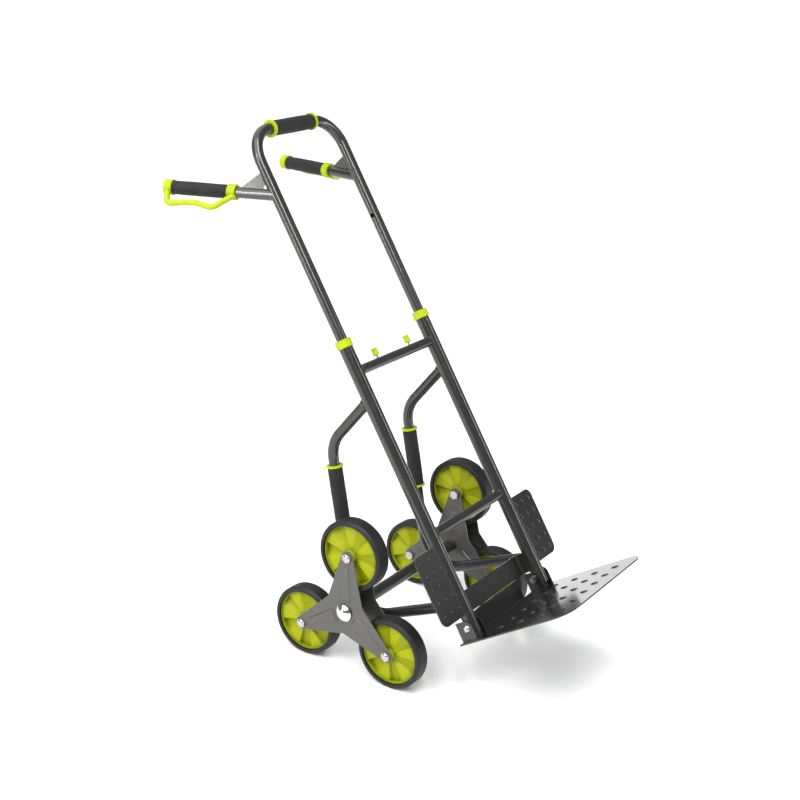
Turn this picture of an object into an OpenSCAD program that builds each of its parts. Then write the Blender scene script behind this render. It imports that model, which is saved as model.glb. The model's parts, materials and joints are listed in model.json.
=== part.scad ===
// A telescoping stair-climbing sack truck: two three-wheel sets on one axle, a folding
// toe plate, and a sliding handle with two side handles.
// X runs across the truck, Y towards the back, Z up.  It stands on four of its six wheels,
// with the frame leaned back.  Frame pieces are drawn upright in X, Y (back) and Z (up the
// frame, named u below), measured from a point between the uprights, and then leaned.

/* [Pose] */
// How far the frame leans back from upright, in degrees
lean = 34; // [25:1:42]

/* [Frame] */
// Distance between the two uprights, centre to centre
track_w = 292; // [270:1:300]
// Outer diameter of an upright
upright_d = 31; // [29:0.5:33]
// Wall of every steel tube
tube_wall = 1.5; // [1.2:0.1:2]
// Height of an upright's open bottom end
upright_low_u = -84; // [-86:1:-82]
// Height of an upright's top end
upright_top_u = 586; // [560:1:600]
// Outer diameter of the two crossbars
crossbar_d = 22; // [20:0.5:25]
// Height of the upper crossbar
crossbar_high_u = 519; // [510:1:540]
// Height of the lower crossbar
crossbar_low_u = 139; // [128:1:200]

/* [Side loops] */
// Outer diameter of the bent side loops
loop_d = 24; // [20:0.5:27]
// Bend radius of the side loops
loop_bend = 75; // [60:1:80]
// Height at which a loop leaves its upright
loop_head_u = 454; // [430:1:480]
// How far behind the uprights the upper corner lies
elbow_y = 148; // [130:1:165]
// Height of the upper corner
elbow_u = 403; // [385:1:410]
// How far behind the uprights the heel corner lies
heel_y = 291; // [270:1:310]
// Height of the heel corner
heel_u = 24; // [16:1:40]
// Height at which the loop comes back to the upright
loop_foot_u = -21; // [-30:1:-12]
// Distance from the upper corner to the foam sleeve's first ring
sleeve_from = 48.5; // [40:0.5:80]
// Length of the foam sleeve with its two end rings
sleeve_len = 142.5; // [90:0.5:160]
// Outer diameter of the foam on the loops and on the top bar
foam_d = 34; // [30:0.5:38]
// Outer diameter of the foam's end rings
ring_d = 38; // [35:0.5:42]
// Length of an end ring
ring_len = 4.5; // [3:0.5:8]

/* [Toe plate] */
// Width of the toe plate
toe_w = 354; // [340:1:360]
// Depth of the toe plate, back edge to front edge
toe_depth = 290; // [220:1:340]
// Corner radius at the front of the toe plate
toe_corner = 45; // [15:1:70]
// Thickness of the toe plate and its ears
toe_t = 3; // [2:0.1:3.5]
// Height of the toe plate's underside
toe_low_u = -98; // [-100:0.5:-97]
// How far the toe plate reaches behind the uprights' centres
toe_back_y = 27; // [25:0.5:27.5]
// Height of the upturned back edge, from the underside
upstand_h = 46; // [30:1:46]
// Half width of the upturned back edge
upstand_half_w = 92; // [60:1:110]
// Height of the folding hinge
hinge_u = -69; // [-70:0.5:-68]
// How far behind the uprights' centres the hinge lies
hinge_y = 3; // [1:0.5:4]
// Diameter of the hinge bolts
hinge_bolt_d = 10; // [8:0.5:10]
// Radius of an ear around its hinge bolt
ear_r = 17; // [14:0.5:18]

/* [Cross plate and wings] */
// Back face of the cross plate behind the uprights' centres
cross_back_y = 28; // [27.5:0.5:36]
// Height of the cross plate
cross_h = 46; // [30:1:52]
// Height of the cross plate's lower edge
cross_low_u = -50; // [-50:1:-44]
// Sheet thickness of the cross plate and the wings
sheet_t = 2; // [1.5:0.1:3]
// Distance from the middle of the truck to a wing's outer edge
wing_x = 241; // [200:1:250]
// Height of a wing
wing_h = 158; // [100:1:200]
// Height of a wing's lower edge
wing_low_u = -40; // [-46:1:0]
// Corner radius of a wing
wing_corner = 18; // [6:1:30]
// How far in front of the uprights' centres a wing's front face lies
wing_front = 7; // [4:0.5:12]

/* [Wheel sets] */
// Distance from the axle to each wheel's bolt
arm_r = 131; // [128:1:140]
// Diameter of a wheel over its tyre
wheel_d = 160; // [150:1:166]
// Width of a tyre
tyre_w = 37; // [28:0.5:40]
// Diameter of a rim, where the tyre sits
rim_d = 138; // [120:1:142]
// Distance from the middle of the truck to the middle of a wheel
wheel_x = 216.5; // [214:0.5:240]
// Gap between the two plates of a wheel set
plate_gap = 47; // [44:0.5:50]
// Thickness of a wheel-set plate
plate_t = 2.5; // [2:0.1:4]
// Radius of a plate's arm around the wheel bolt
arm_tip_r = 15; // [13:0.5:24]
// Distance from the axle to the notch between two arms
notch_r = 51.5; // [40:0.5:64]
// Diameter of the wheel bolts
wheel_bolt_d = 12; // [8:0.5:14]
// Diameter of the axle
axle_d = 16; // [12:0.5:18]
// Outer diameter of the axle tube
axle_tube_d = 28; // [26:0.5:32]
// Outer diameter of a wheel set's hub sleeve
hub_d = 28; // [24:0.5:34]

/* [Handle] */
// Outer diameter of the handle's tubes
handle_d = 24; // [22:0.5:25]
// Height of the top bar, pulled out
handle_top_u = 1072; // [1050:1:1120]
// Bend radius of the handle's two corners
handle_bend = 68; // [40:1:72]
// Height of the legs' lower ends, pulled out
leg_low_u = 470; // [450:1:480]
// How far the handle slides down
handle_travel = 312; // [200:1:315]
// Length of the foam on the top bar, between its rings
top_grip_len = 137.5; // [80:0.5:144]
// Height at which a side handle leaves its leg
side_u = 927; // [926:1:960]
// Rise of a side handle above square to the frame, in degrees
side_rise = 29.6; // [20:0.1:40]
// Outward splay of a side handle, in degrees
side_splay = 14.9; // [0:0.1:20]
// Distance from the leg's centre to the guard's collar
side_bare = 92; // [86:1:120]
// Length of the guard's collar
guard_collar_len = 19; // [14:1:24]
// Length of the foam on a side handle
side_grip_len = 134; // [130:1:160]
// Length of the guard's end cap
guard_cap_len = 19; // [16:1:30]
// Outer diameter of the foam on a side handle
side_grip_d = 30.6; // [28:0.2:32]
// Outer diameter of the guard's collar and cap
guard_end_d = 32.6; // [32:0.2:38]
// Diameter of the guard's bar
guard_bar_d = 12.4; // [8:0.2:14]
// Distance from the grip's centre line to the middle of the guard's bar
guard_reach = 46; // [42:1:60]
// Turn of the guard below straight outwards, in degrees
guard_roll = 35; // [0:1:60]
// Height of a gusset where it meets the leg
gusset_h = 58; // [40:1:60]
// Reach of a gusset along its side handle, measured square to the leg
gusset_reach = 65; // [50:1:70]

/* [Locks] */
// Distance from the middle of the truck to a lock knob
knob_x = 61; // [50:1:90]
// Diameter of a lock knob
knob_d = 14; // [10:0.5:20]
// Height of a lock knob
knob_h = 18; // [12:0.5:26]
// Diameter of a lock pin
lock_pin_d = 10; // [7:0.5:10]
// Inward travel of a lock knob
lock_travel = 10; // [8:0.5:14]

/* [Clearances] */
// Radial clearance of every fit that slides or turns
run_gap = 0.08; // [0.05:0.01:0.1]
// Radial clearance of every piece that is pushed on and stays
seat_gap = 0.05; // [0.02:0.01:0.1]

/* [Hidden] */
$fn = 64;
steel = [0.27, 0.28, 0.27];
plate_grey = [0.45, 0.45, 0.43];
lime = [0.76, 0.83, 0.05];
foam = [0.12, 0.12, 0.13];
zinc = [0.8, 0.8, 0.78];
black = [0.07, 0.07, 0.07];

function unit(v) = v / norm(v);

half_track = track_w / 2;
upright_r = upright_d / 2;
upright_bore_r = upright_r - tube_wall;
crossbar_r = crossbar_d / 2;
crossbar_bore_r = crossbar_r - tube_wall;
loop_r = loop_d / 2;
handle_r = handle_d / 2;

// A side loop's corners, each [back, up the frame]
loop_head = [0, loop_head_u];
loop_elbow = [elbow_y, elbow_u];
loop_heel = [heel_y, heel_u];
loop_foot = [0, loop_foot_u];
loop_corners = [loop_head, loop_elbow, loop_heel, loop_foot];

// The axle tube lies in the crook of the heel bend
to_elbow = unit(loop_elbow - loop_heel);
to_foot = unit(loop_foot - loop_heel);
heel_half = acos(to_elbow * to_foot) / 2;
heel_axis = unit(to_elbow + to_foot);
heel_centre = loop_heel + heel_axis * loop_bend / sin(heel_half);
crook = loop_bend - loop_r - axle_tube_d / 2 - seat_gap;
axle_at = heel_centre - heel_axis * crook;

// Each wheel set stands on two wheels with its third arm straight up
wheel_r = wheel_d / 2;
axle_z = wheel_r + arm_r * cos(60);
frame_z = axle_z - axle_at[1] * cos(lean) + axle_at[0] * sin(lean);

// Foremost is the toe plate's lower front edge, rearmost the end of a side handle
guard_end_r = guard_end_d / 2;
side_len = side_bare + guard_collar_len + side_grip_len + guard_cap_len;
side_y = cos(side_rise) * cos(side_splay);
toe_front_y = toe_back_y - toe_depth;
front_y = toe_front_y * cos(lean) + toe_low_u * sin(lean);
cap_axis_y = sin(side_rise) * sin(lean) + side_y * cos(lean);
cap_centre_y = side_u * sin(lean) + side_len * cap_axis_y;
back_y = cap_centre_y + guard_end_r * sqrt(1 - cap_axis_y * cap_axis_y);
frame_y = -(front_y + back_y) / 2;
axle_y = frame_y + axle_at[1] * sin(lean) + axle_at[0] * cos(lean);

bend_swell = 0.15;
bend_run_in = 0.5;

collar_h = 18;
collar_d = 35.5;
collar_lip = 6.5;
bush_h = 25;
plug_h = 9;

ear_gap = 1;
bolt_gap = 0.3;
outer_ear_x = half_track + upright_r + ear_gap;
inner_ear_x = half_track - upright_r - ear_gap - toe_t;
hinge_bolt_r = hinge_bolt_d / 2;
button_r = 9;
button_h = 4.5;
hinge_nut_af = 15;
hinge_nut_h = 6;
cross_bend = 8;
cross_reach_y = -4;

axle_r = axle_d / 2;
hub_r = hub_d / 2;
side_play = 0.5;
plate_in = plate_gap / 2;
plate_out = plate_in + plate_t;
hub_in = -plate_out - 7;
set_in_x = wheel_x + hub_in;
set_out_x = wheel_x + plate_out;
inner_washer_t = 3;
outer_washer_t = 1.5;
tube_end_x = set_in_x - side_play - inner_washer_t;
tube_plug_len = 20;
cap_x = set_out_x + side_play + outer_washer_t;
cap_r = 20;
cap_h = 11;
cap_rim = 2;
cap_bore = 4;

tip_bulge = 0.3;
wheel_bolt_r = wheel_bolt_d / 2;
nut_af = 19;
nut_h = 7.5;
nut_hex_h = 4.5;
nut_bore = 4.5;
rim_r = rim_d / 2;
rim_half = 13.5;
rim_lip_t = 5;
rim_hub_r = 13;
rim_play = 0.7;
web_half = 4;
tyre_round = 7;

gusset_t = 2.5;
gusset_slope_lift = 14;
relief_r = 8;
relief_at = [handle_r + 2, 22];
guard_bend = 16;
cap_end_wall = 4;

pin_r = lock_pin_d / 2;
pin_short = 0.4;
pin_tip_x = half_track - handle_r - pin_short;
pin_slide_half = 9;
rod_r = 2.5;
rod_play = 0.5;
knob_lift = 5;
knob_hold = 6;

// ---- placing ----

module leaned() {
  translate([0, frame_y, frame_z]) rotate([-lean, 0, 0]) children();
}

// The right side as drawn, the left side mirrored: side is 1 or -1
module on_side(side) {
  if (side > 0) {
    children();
  } else {
    mirror([1, 0, 0]) children();
  }
}

module both_sides() {
  on_side(1) children();
  on_side(-1) children();
}

// Carries a drawing made in X and Y into the plane of a side loop, Y becoming up the frame
module in_side_plane(x) {
  translate([x, 0, 0]) rotate([90, 0, 90]) children();
}

// ---- round stock ----

module pipe(h, r, bore_r) {
  difference() {
    cylinder(h = h, r = r);
    translate([0, 0, -1]) cylinder(h = h + 2, r = bore_r);
  }
}

// A bar along X, from x0 to x1
module bar_x(x0, x1, r) {
  translate([x0, 0, 0]) rotate([0, 90, 0]) cylinder(h = x1 - x0, r = r);
}

module pipe_x(x0, x1, r, bore_r) {
  translate([x0, 0, 0]) rotate([0, 90, 0]) pipe(x1 - x0, r, bore_r);
}

// A low dome on a flat foot, along Z
module dome(h, r) {
  ball_r = (r * r + h * h) / (2 * h);
  rotate_extrude() intersection() {
    translate([0, h - ball_r]) circle(r = ball_r, $fn = 128);
    square([r, h]);
  }
}

module hex(h, across) {
  cylinder(h = h, d = across / cos(30), $fn = 6);
}

// The turn at b on the way from a to c, in degrees, and how much of each straight it uses up
function turn(a, b, c) =
  let (p = unit(b - a), q = unit(c - b)) atan2(p[0] * q[1] - p[1] * q[0], p * q);
function trim(a, b, c, bend_r) = bend_r * tan(abs(turn(a, b, c)) / 2);

// The bends are a hair fatter than the straights, which run a little way into them
module straight(a, b, r) {
  d = b - a;
  translate([a[0], a[1], 0]) rotate([0, 0, atan2(d[1], d[0])]) rotate([0, 90, 0])
    cylinder(h = norm(d), r = r);
}

module bend(a, b, c, bend_r, r) {
  p = unit(b - a);
  t = turn(a, b, c);
  start = b - p * trim(a, b, c, bend_r);
  centre = start + sign(t) * bend_r * [-p[1], p[0]];
  from = atan2(start[1] - centre[1], start[0] - centre[0]);
  translate([centre[0], centre[1], 0]) rotate([0, 0, t > 0 ? from : from + t])
    rotate_extrude(angle = abs(t)) translate([bend_r, 0]) circle(r = r + bend_swell);
}

// A round bar through corners in the XY plane, bent to one radius at each
module bent_rod(p, bend_r, r) {
  last = len(p) - 1;
  for (i = [0 : last - 1]) {
    way = unit(p[i + 1] - p[i]);
    skip_a = i == 0 ? 0 : trim(p[i - 1], p[i], p[i + 1], bend_r) - bend_run_in;
    skip_b = i == last - 1 ? 0 : trim(p[i], p[i + 1], p[i + 2], bend_r) - bend_run_in;
    straight(p[i] + way * skip_a, p[i + 1] - way * skip_b, r);
    if (i > 0) bend(p[i - 1], p[i], p[i + 1], bend_r, r);
  }
}

module bent_tube(p, bend_r, r) {
  difference() {
    bent_rod(p, bend_r, r);
    bent_rod(p, bend_r, r - tube_wall);
  }
}

// ---- frame ----

module solid_upright() {
  translate([half_track, 0, upright_low_u]) cylinder(h = upright_top_u - upright_low_u, r = upright_r);
}

module upright(side) {
  color(steel) leaned() on_side(side) difference() {
    translate([half_track, 0, upright_low_u])
      pipe(upright_top_u - upright_low_u, upright_r, upright_bore_r);
    translate([0, 0, crossbar_high_u]) bar_x(half_track - upright_r - 1, half_track, pin_r + run_gap);
    translate([0, hinge_y, hinge_u])
      bar_x(half_track - upright_r - 1, half_track + upright_r + 1, hinge_bolt_r + seat_gap);
  }
}

// The slots let the lock knobs slide inwards
module upper_crossbar() {
  slot_half = rod_r + rod_play;
  color(steel) leaned() translate([0, 0, crossbar_high_u]) difference() {
    pipe_x(-half_track, half_track, crossbar_r, crossbar_bore_r);
    translate([0, 0, -crossbar_high_u]) both_sides() solid_upright();
    both_sides() translate([knob_x - lock_travel - slot_half, -slot_half, 0])
      cube([lock_travel + 2 * slot_half, 2 * slot_half, crossbar_r + 1]);
  }
}

module lower_crossbar() {
  color(steel) leaned() difference() {
    translate([0, 0, crossbar_low_u]) pipe_x(-half_track, half_track, crossbar_r, crossbar_bore_r);
    both_sides() solid_upright();
  }
}

// One tube, bent twice, from high on the upright round the heel to its foot
module side_loop(side) {
  color(steel) leaned() on_side(side) difference() {
    in_side_plane(half_track) bent_tube(loop_corners, loop_bend, loop_r);
    solid_upright();
  }
}

// Draws along a loop's long straight, Z running from the elbow down to the heel
module along_loop() {
  translate([half_track, elbow_y, elbow_u]) rotate([-atan2(heel_y - elbow_y, heel_u - elbow_u), 0, 0])
    children();
}

module loop_sleeve(side) {
  color(foam) leaned() on_side(side) along_loop() translate([0, 0, sleeve_from + ring_len])
    pipe(sleeve_len - 2 * ring_len, foam_d / 2, loop_r + seat_gap);
}

module loop_sleeve_rings() {
  color(lime) leaned() both_sides() along_loop() for (z = [0, sleeve_len - ring_len])
    translate([0, 0, sleeve_from + z]) pipe(ring_len, ring_d / 2, loop_r + seat_gap);
}

// A tube with a bored plug in each end, lying in the crooks of both loops
module axle_tube() {
  color(steel) leaned() translate([0, axle_at[0], axle_at[1]]) difference() {
    bar_x(-tube_end_x, tube_end_x, axle_tube_d / 2);
    bar_x(-tube_end_x + tube_plug_len, tube_end_x - tube_plug_len, axle_tube_d / 2 - tube_wall);
    bar_x(-tube_end_x - 1, tube_end_x + 1, axle_r + seat_gap);
  }
}

module axle_shaft() {
  reach = cap_x + cap_bore - 0.5;
  color(zinc) leaned() translate([0, axle_at[0], axle_at[1]]) bar_x(-reach, reach, axle_r);
}

module axle_washers() {
  outer_x = set_out_x + side_play;
  color(zinc) leaned() translate([0, axle_at[0], axle_at[1]]) both_sides() {
    pipe_x(tube_end_x, tube_end_x + inner_washer_t, hub_r, axle_r + seat_gap);
    pipe_x(outer_x, outer_x + outer_washer_t, hub_r, axle_r + seat_gap);
  }
}

module axle_caps() {
  color(zinc) leaned() translate([0, axle_at[0], axle_at[1]]) both_sides()
    translate([cap_x, 0, 0]) rotate([0, 90, 0]) difference() {
      union() {
        cylinder(h = cap_rim, r = cap_r);
        translate([0, 0, cap_rim]) dome(cap_h - cap_rim, cap_r);
      }
      translate([0, 0, -1]) cylinder(h = cap_bore + 1, r = axle_r + seat_gap);
    }
}

// A strip with two rounded corners at the back, seen from above
module tray_outline(half_w, from_y, to_y, corner) {
  translate([-half_w, from_y]) square([2 * half_w, to_y - corner - from_y]);
  translate([corner - half_w, from_y]) square([2 * (half_w - corner), to_y - from_y]);
  for (x = [corner - half_w, half_w - corner]) translate([x, to_y - corner]) circle(r = corner);
}

// A bent sheet between the uprights, its ends turned forwards and welded to them
module cross_plate() {
  half_w = half_track - upright_r;
  color(steel) leaned() translate([0, 0, cross_low_u]) difference() {
    linear_extrude(cross_h) tray_outline(half_w, cross_reach_y, cross_back_y, cross_bend);
    translate([0, 0, -1]) linear_extrude(cross_h + 2)
      tray_outline(half_w - sheet_t, cross_reach_y - 1, cross_back_y - sheet_t, cross_bend - sheet_t);
  }
}

module wing_plate(side) {
  top = wing_low_u + wing_h;
  inner = wing_x - wing_corner;
  color(steel) leaned() on_side(side) difference() {
    translate([0, sheet_t - wing_front, 0]) rotate([90, 0, 0]) linear_extrude(sheet_t) {
      translate([half_track, wing_low_u]) square([inner - half_track, wing_h]);
      translate([half_track, wing_low_u + wing_corner])
        square([wing_x - half_track, wing_h - 2 * wing_corner]);
      for (u = [wing_low_u + wing_corner, top - wing_corner]) translate([inner, u]) circle(r = wing_corner);
    }
    solid_upright();
  }
}

module upright_plugs() {
  color(black) leaned() both_sides() translate([half_track, 0, upright_low_u])
    cylinder(h = plug_h, r = upright_bore_r - seat_gap);
}

module hinge_bolts() {
  head_x = outer_ear_x + toe_t + bolt_gap;
  nut_x = inner_ear_x - bolt_gap - hinge_nut_h;
  color(zinc) leaned() both_sides() translate([0, hinge_y, hinge_u]) {
    bar_x(nut_x, head_x, hinge_bolt_r);
    translate([head_x, 0, 0]) rotate([0, 90, 0]) dome(button_h, button_r);
    translate([nut_x, 0, 0]) rotate([0, 90, 0]) difference() {
      hex(hinge_nut_h, hinge_nut_af);
      translate([0, 0, -1]) cylinder(h = hinge_nut_h + 2, r = hinge_bolt_r + seat_gap);
    }
  }
}

// Caps the upright and guides the sliding leg
module tube_collar(side) {
  low = upright_top_u + collar_lip - collar_h;
  color(lime) leaned() on_side(side) translate([half_track, 0, low]) difference() {
    cylinder(h = collar_h, d = collar_d);
    translate([0, 0, -1]) cylinder(h = upright_top_u - low + 1, r = upright_r + seat_gap);
    cylinder(h = collar_h + 1, r = handle_r + run_gap);
  }
}

// ---- handle ----

module handle_tube() {
  corners = [[-half_track, leg_low_u], [-half_track, handle_top_u],
             [half_track, handle_top_u], [half_track, leg_low_u]];
  color(steel) leaned() difference() {
    rotate([90, 0, 0]) bent_tube(corners, handle_bend, handle_r);
    both_sides() for (u = [crossbar_high_u, crossbar_high_u + handle_travel])
      translate([0, 0, u]) bar_x(half_track - handle_r - 1, half_track, pin_r + run_gap);
  }
}

module leg_bushes() {
  color(black) leaned() both_sides() translate([half_track, 0, leg_low_u])
    pipe(bush_h, upright_bore_r - run_gap, handle_r + seat_gap);
}

module top_grip() {
  color(foam) leaned() translate([0, 0, handle_top_u])
    pipe_x(-top_grip_len / 2, top_grip_len / 2, foam_d / 2, handle_r + seat_gap);
}

module top_grip_rings() {
  color(lime) leaned() both_sides() translate([0, 0, handle_top_u])
    pipe_x(top_grip_len / 2, top_grip_len / 2 + ring_len, ring_d / 2, handle_r + seat_gap);
}

// Draws along a side handle, Z running out from the leg and X towards the outside
module along_side_handle() {
  translate([half_track, 0, side_u]) rotate([0, 0, -side_splay]) rotate([side_rise - 90, 0, 0])
    children();
}

module solid_leg() {
  translate([half_track, 0, leg_low_u]) cylinder(h = handle_top_u - leg_low_u, r = handle_r + seat_gap);
}

module side_handle(side) {
  color(steel) leaned() on_side(side) difference() {
    along_side_handle() pipe(side_len - cap_end_wall, handle_r, handle_r - tube_wall);
    solid_leg();
  }
}

// A flat web above a side handle, its own corner cut away
module gusset(side) {
  slope = tan(side_rise);
  color(steel) leaned() on_side(side) difference() {
    translate([half_track, 0, side_u]) rotate([0, 0, -side_splay]) rotate([90, 0, 90])
      translate([0, 0, -gusset_t / 2]) difference() {
        linear_extrude(gusset_t)
          polygon([[0, 0], [gusset_reach, gusset_reach * slope],
                   [gusset_reach, gusset_reach * slope + gusset_slope_lift], [handle_r, gusset_h],
                   [0, gusset_h]]);
        translate([relief_at[0], relief_at[1], -1]) cylinder(h = gusset_t + 2, r = relief_r);
      }
    solid_leg();
    along_side_handle() cylinder(h = side_len, r = handle_r);
  }
}

module side_grip(side) {
  color(foam) leaned() on_side(side) along_side_handle() translate([0, 0, side_bare + guard_collar_len])
    pipe(side_grip_len, side_grip_d / 2, handle_r + seat_gap);
}

// The collar, the end cap and the bar that joins them past the fingers are one moulding
module hand_guard(side) {
  grip_from = side_bare + guard_collar_len;
  grip_to = grip_from + side_grip_len;
  corners = [[10, grip_from - 16], [guard_reach + 12, grip_from + 16], [guard_reach, grip_from + 58],
             [guard_reach, grip_to - 50], [guard_reach + 10, grip_to - 8], [12, grip_to + 10]];
  color(lime) leaned() on_side(side) along_side_handle() difference() {
    union() {
      translate([0, 0, side_bare]) cylinder(h = guard_collar_len, r = guard_end_r);
      translate([0, 0, grip_to]) cylinder(h = guard_cap_len, r = guard_end_r);
      rotate([0, 0, guard_roll]) rotate([90, 0, 0]) bent_rod(corners, guard_bend, guard_bar_d / 2);
    }
    translate([0, 0, side_bare - 1]) cylinder(h = side_len - cap_end_wall - side_bare + 1, r = handle_r + seat_gap);
  }
}

// ---- toe plate ----

module toe_ear(x) {
  ear_back_y = toe_back_y - 2;
  in_side_plane(x) linear_extrude(toe_t) {
    translate([hinge_y, hinge_u]) circle(r = ear_r);
    polygon([[hinge_y - ear_r, toe_low_u + 1], [ear_back_y, toe_low_u + 1],
             [ear_back_y, hinge_u + ear_r], [hinge_y, hinge_u + ear_r], [hinge_y - ear_r, hinge_u]]);
  }
}

module toe_plate() {
  half_w = toe_w / 2;
  color(steel) leaned() difference() {
    union() {
      translate([0, 0, toe_low_u]) rotate([180, 0, 0]) translate([0, 0, -toe_t]) linear_extrude(toe_t)
        tray_outline(half_w, -toe_back_y, -toe_front_y, toe_corner);
      translate([-upstand_half_w, toe_back_y - toe_t, toe_low_u])
        cube([2 * upstand_half_w, toe_t, upstand_h]);
      both_sides() {
        toe_ear(inner_ear_x);
        toe_ear(outer_ear_x);
      }
    }
    both_sides() translate([0, hinge_y, hinge_u])
      bar_x(inner_ear_x - 1, outer_ear_x + toe_t + 1, hinge_bolt_r + run_gap);
  }
}

// ---- handle locks ----

// A pin that slides in the crossbar, with the rod that carries its knob
module lock_pin(side) {
  color(zinc) leaned() on_side(side) translate([0, 0, crossbar_high_u]) {
    bar_x(knob_x - pin_slide_half, knob_x + pin_slide_half, crossbar_bore_r - run_gap);
    bar_x(knob_x, pin_tip_x, pin_r);
    translate([knob_x, 0, 0]) cylinder(h = crossbar_r + knob_lift + knob_hold, r = rod_r);
  }
}

module lock_knob(side) {
  color(lime) leaned() on_side(side) translate([knob_x, 0, crossbar_high_u + crossbar_r + knob_lift])
    difference() {
      cylinder(h = knob_h, d = knob_d);
      translate([0, 0, -1]) cylinder(h = knob_hold + 1, r = rod_r + seat_gap);
    }
}

// ---- wheel sets ----

module at_set(side) {
  on_side(side) translate([wheel_x, axle_y, axle_z]) children();
}

// turn is 0 for the top wheel, 120 for the front one and 240 for the rear one
module at_wheel(side, turn) {
  at_set(side) rotate([turn, 0, 0]) translate([0, 0, arm_r]) children();
}

// Where a line from p touches a circle round c
function touch(p, c, r) =
  let (d = p - c, a = atan2(d[1], d[0]) - acos(r / norm(d))) c + r * [cos(a), sin(a)];
function spun(p, a) = [p[0] * cos(a) - p[1] * sin(a), p[0] * sin(a) + p[1] * cos(a)];

// Three tapering arms with round tips, standing in the wheel's plane, the first arm up
module star_plate(side, x) {
  notch = notch_r * [cos(60), sin(60)];
  edge = touch(notch, [arm_r, 0], arm_tip_r - tip_bulge);
  outline = [for (a = [0, 120, 240]) each
              [spun([edge[0], -edge[1]], a), spun(edge, a), spun(notch, a)]];
  color(plate_grey) at_set(side) translate([x, 0, 0]) rotate([0, -90, 0]) translate([0, 0, -plate_t])
    linear_extrude(plate_t) difference() {
      union() {
        polygon(outline);
        for (a = [0, 120, 240]) translate(spun([arm_r, 0], a)) circle(r = arm_tip_r);
      }
      circle(r = hub_r + seat_gap);
      for (a = [0, 120, 240]) translate(spun([arm_r, 0], a)) circle(r = wheel_bolt_r + seat_gap);
    }
}

module star_hub(side) {
  color(steel) at_set(side) pipe_x(hub_in, plate_out, hub_r, axle_r + run_gap);
}

// Three bolts, heads towards the middle of the truck, and their domed nuts outside
module wheel_bolts(side) {
  color(zinc) for (a = [0, 120, 240]) at_wheel(side, a) rotate([0, 90, 0]) {
    translate([0, 0, -plate_out - nut_h]) {
      hex(nut_h, nut_af);
      cylinder(h = nut_h + 2 * plate_out + nut_bore - 0.5, r = wheel_bolt_r);
    }
    translate([0, 0, plate_out]) difference() {
      union() {
        hex(nut_hex_h, nut_af);
        translate([0, 0, nut_hex_h]) dome(nut_h - nut_hex_h, nut_af / 2 - 1);
      }
      translate([0, 0, -1]) cylinder(h = nut_bore + 1, r = wheel_bolt_r + seat_gap);
    }
  }
}

module wheel_rim(side, turn) {
  hub_half = plate_in - rim_play;
  color(lime) at_wheel(side, turn) difference() {
    union() {
      bar_x(-hub_half, hub_half, rim_hub_r);
      bar_x(-web_half, web_half, rim_r - 1);
      pipe_x(-rim_half, rim_half, rim_r, rim_r - rim_lip_t);
    }
    bar_x(-plate_in, plate_in, wheel_bolt_r + run_gap);
  }
}

module wheel_tyre(side, turn) {
  foot_r = rim_r + seat_gap;
  shoulder = tyre_w / 2 - tyre_round;
  color(foam) at_wheel(side, turn) rotate([0, 90, 0]) rotate_extrude($fn = 96) {
    translate([foot_r, -tyre_w / 2]) square([wheel_r - tyre_round - foot_r, tyre_w]);
    translate([foot_r, -shoulder]) square([wheel_r - foot_r, 2 * shoulder]);
    for (m = [-1, 1]) intersection() {
      translate([wheel_r - tyre_round, m * shoulder]) circle(r = tyre_round);
      translate([wheel_r - tyre_round, -tyre_w]) square([tyre_round, 2 * tyre_w]);
    }
  }
}

upright(-1);  // left_upright
upright(1);  // right_upright
upper_crossbar();
lower_crossbar();
side_loop(-1);  // left_side_loop
side_loop(1);  // right_side_loop
axle_tube();
axle_shaft();
axle_washers();
axle_caps();
cross_plate();
wing_plate(-1);  // left_wing_plate
wing_plate(1);  // right_wing_plate
upright_plugs();
hinge_bolts();
tube_collar(-1);  // left_tube_collar
tube_collar(1);  // right_tube_collar
loop_sleeve(-1);  // left_loop_sleeve
loop_sleeve(1);  // right_loop_sleeve
loop_sleeve_rings();
handle_tube();
leg_bushes();
top_grip();
top_grip_rings();
side_handle(-1);  // left_side_handle
side_handle(1);  // right_side_handle
gusset(-1);  // left_gusset
gusset(1);  // right_gusset
side_grip(-1);  // left_side_grip
side_grip(1);  // right_side_grip
hand_guard(-1);  // left_hand_guard
hand_guard(1);  // right_hand_guard
toe_plate();
lock_knob(-1);  // left_lock_knob
lock_knob(1);  // right_lock_knob
lock_pin(-1);  // left_lock_pin
lock_pin(1);  // right_lock_pin
star_plate(-1, plate_in);  // left_star_outer_plate
star_plate(-1, -plate_out);  // left_star_inner_plate
star_hub(-1);  // left_star_hub
wheel_bolts(-1);  // left_wheel_bolts
star_plate(1, plate_in);  // right_star_outer_plate
star_plate(1, -plate_out);  // right_star_inner_plate
star_hub(1);  // right_star_hub
wheel_bolts(1);  // right_wheel_bolts
wheel_rim(-1, 0);  // left_top_rim
wheel_tyre(-1, 0);  // left_top_tyre
wheel_rim(-1, 120);  // left_front_rim
wheel_tyre(-1, 120);  // left_front_tyre
wheel_rim(-1, 240);  // left_rear_rim
wheel_tyre(-1, 240);  // left_rear_tyre
wheel_rim(1, 0);  // right_top_rim
wheel_tyre(1, 0);  // right_top_tyre
wheel_rim(1, 120);  // right_front_rim
wheel_tyre(1, 120);  // right_front_tyre
wheel_rim(1, 240);  // right_rear_rim
wheel_tyre(1, 240);  // right_rear_tyre
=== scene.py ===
# %% [markdown]
# # A stair-climbing sack truck
# The truck is bent steel tube with a folding toe plate, two side handles and two sets of three
# wheels.  Its exact solids come in as a fixed frame, already in place and to size.  The steps
# below add what the solids leave out: moulded rims, soft grips, pressed dimples, embossed ribs
# and weld beads, and then a finish for every surface.

import json
import math
import bpy
from mathutils import Matrix, Vector


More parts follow.
